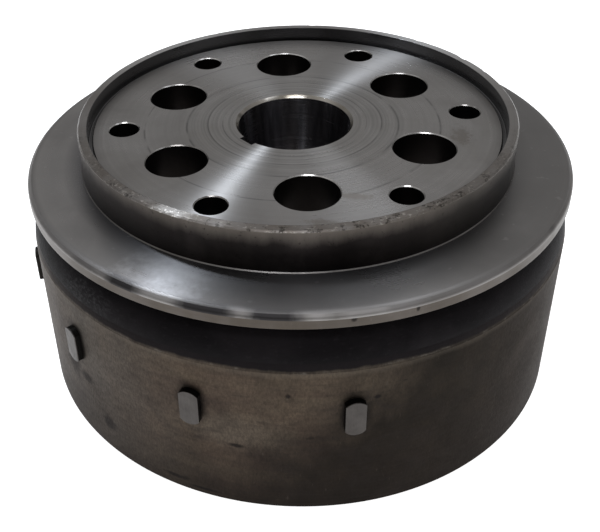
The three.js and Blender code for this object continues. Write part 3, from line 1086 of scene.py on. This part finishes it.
def build_cage(material):
    """A moulded ring with a pocket around every magnet."""
    play = 0.1
    outline = plain_ring(MAGNET_INNER_RADIUS, MAGNET_OUTER_RADIUS, CAGE_LOW, CAGE_HIGH, 0.5)
    cage = turned("magnet_cage_moulded", outline)
    cage.data.materials.append(material)
    cut(cage, [
        annulus_block(
            "pocket",
            MAGNET_INNER_RADIUS - OVER,
            MAGNET_OUTER_RADIUS + OVER,
            magnet_angle(n),
            MAGNET_HALF_ANGLE + play / MAGNET_INNER_RADIUS,
            MAGNET_LOW - play,
            MAGNET_HIGH + play,
        )
        for n in MAGNETS
    ])
    finish_piece(cage, "cage_resin", "magnet_cage")


def build_sleeve():
    outline = plain_ring(SLEEVE_INNER_RADIUS, SLEEVE_RADIUS, SLEEVE_LOW, SLEEVE_HIGH, 0.15)
    sleeve = turned("magnet_sleeve_drawn", outline)
    sleeve.data.materials.append(
        turned_steel("stainless_sheet", (0.5, 0.49, 0.47), (0.3, 0.28, 0.26), 0.3, 0.28, 0.4)
    )
    finish_piece(sleeve, "stainless", "magnet_sleeve")


# ------------------------------------------------------------------ floor, light and camera


def build_floor():
    half = 9000.0
    top = RIM - 0.02  # just clear of the rim's own plane
    corners = [(-half, -half, top), (half, -half, top), (half, half, top), (-half, half, top)]
    floor = make_object("floor", corners, [(0, 1, 2, 3)])
    g = Graph("pale_floor")
    cloud = g.noise(g.place, 0.004, detail=2.0)
    colour = g.mix(g.span(cloud, 0.3, 0.7), (0.8, 0.8, 0.8), (0.84, 0.84, 0.84))
    floor.data.materials.append(g.shine(colour, 0.9, 0.0))
    g.shader.inputs["Emission Color"].default_value = (1.0, 1.0, 1.0, 1.0)
    g.shader.inputs["Emission Strength"].default_value = 0.85


def aim(thing, place, target):
    """Puts a light at a place and turns it to face the target."""
    thing.location = place
    thing.rotation_euler = (Vector(target) - Vector(place)).to_track_quat("-Z", "Y").to_euler()


def area_light(name, azimuth, elevation, distance, size, power, colour):
    """A soft light that faces the hub, placed by azimuth and elevation in degrees."""
    light = bpy.data.lights.new(name, "AREA")
    light.shape = "RECTANGLE"
    light.size, light.size_y = size
    light.energy = power
    light.color = colour
    lamp = bpy.data.objects.new(name, light)
    bpy.context.scene.collection.objects.link(lamp)
    a, e = math.radians(azimuth), math.radians(elevation)
    target = Vector((0, 0, HUB_FACE * MM))
    way = Vector((math.cos(a) * math.cos(e), math.sin(a) * math.cos(e), math.sin(e)))
    aim(lamp, target + way * distance, target)


def build_lights():
    """A small key that draws the streaks, a softbox on the right and a faint front light."""
    area_light(
        "key", azimuth=144.5, elevation=63, distance=1.1, size=(0.07, 0.07), power=3.9,
        colour=(0.84, 0.91, 1.0),
    )
    area_light(
        "side_softbox", azimuth=28, elevation=68, distance=1.3, size=(1.1, 0.4), power=2.5,
        colour=(0.9, 0.94, 1.0),
    )
    area_light(
        "front_strip", azimuth=-90, elevation=60, distance=1.5, size=(0.6, 0.25), power=4,
        colour=(0.95, 0.96, 1.0),
    )


def build_room():
    """An evenly lit room, brighter overhead, with faint folds like those of drapes."""
    world = bpy.data.worlds.new("studio")
    world.use_nodes = True
    nodes = world.node_tree.nodes
    links = world.node_tree.links

    def ranged(source, *limits):
        made = nodes.new("ShaderNodeMapRange")
        for socket, value in zip(made.inputs[1:5], limits):
            socket.default_value = value
        links.new(source, made.inputs[0])
        return made.outputs[0]

    way = nodes.new("ShaderNodeTexCoord").outputs["Generated"]
    height = nodes.new("ShaderNodeSeparateXYZ")
    links.new(way, height.inputs[0])
    drapes = nodes.new("ShaderNodeTexNoise")
    drapes.inputs["Scale"].default_value = 1.7
    drapes.inputs["Detail"].default_value = 1.0
    links.new(way, drapes.inputs["Vector"])
    strength = nodes.new("ShaderNodeMath")
    strength.operation = "MULTIPLY"
    links.new(ranged(height.outputs["Z"], 0.25, 0.62, 0.2, 0.44), strength.inputs[0])
    links.new(ranged(drapes.outputs["Fac"], 0.35, 0.65, 0.75, 1.25), strength.inputs[1])
    links.new(strength.outputs[0], nodes["Background"].inputs["Strength"])
    nodes["Background"].inputs["Color"].default_value = (1.0, 0.985, 0.975, 1.0)
    bpy.context.scene.world = world


def build_camera():
    """Looks down on the hub from the front, a little turned and rolled."""
    place = Vector((0.01726, -0.22368, HUB_FACE * MM + 0.11866))
    heading = math.radians(9.6)
    pitch = math.radians(34.14)
    roll = math.radians(-3.18)
    turn = Matrix.Rotation(heading, 3, "Z")
    forward = turn @ Vector((0, math.cos(pitch), -math.sin(pitch)))
    level = turn @ Vector((1, 0, 0))
    upright = level.cross(forward)
    right = math.cos(roll) * level + math.sin(roll) * upright
    up = -math.sin(roll) * level + math.cos(roll) * upright
    camera = bpy.data.cameras.new("camera")
    camera.lens = 55.74
    camera.shift_x = 0.125
    camera.shift_y = -0.0683
    camera.clip_start = 0.01
    viewer = bpy.data.objects.new("camera", camera)
    axes = Matrix((right, up, -forward)).transposed().to_4x4()
    viewer.matrix_world = Matrix.Translation(place) @ axes
    bpy.context.scene.collection.objects.link(viewer)
    bpy.context.scene.camera = viewer


# ------------------------------------------------------------------ everything together

build_hub()
build_cup()
tab_finish = tab_steel("tab_steel")
for tab in TABS:
    build_tab(tab, tab_finish)
magnet_finish = ferrite("magnet_ferrite")
for magnet in MAGNETS:
    build_magnet(magnet, magnet_finish)
build_cage(moulded_resin("cage_resin"))
build_sleeve()
build_floor()
build_lights()
build_room()
build_camera()
bpy.context.scene.view_settings.view_transform = "Standard"
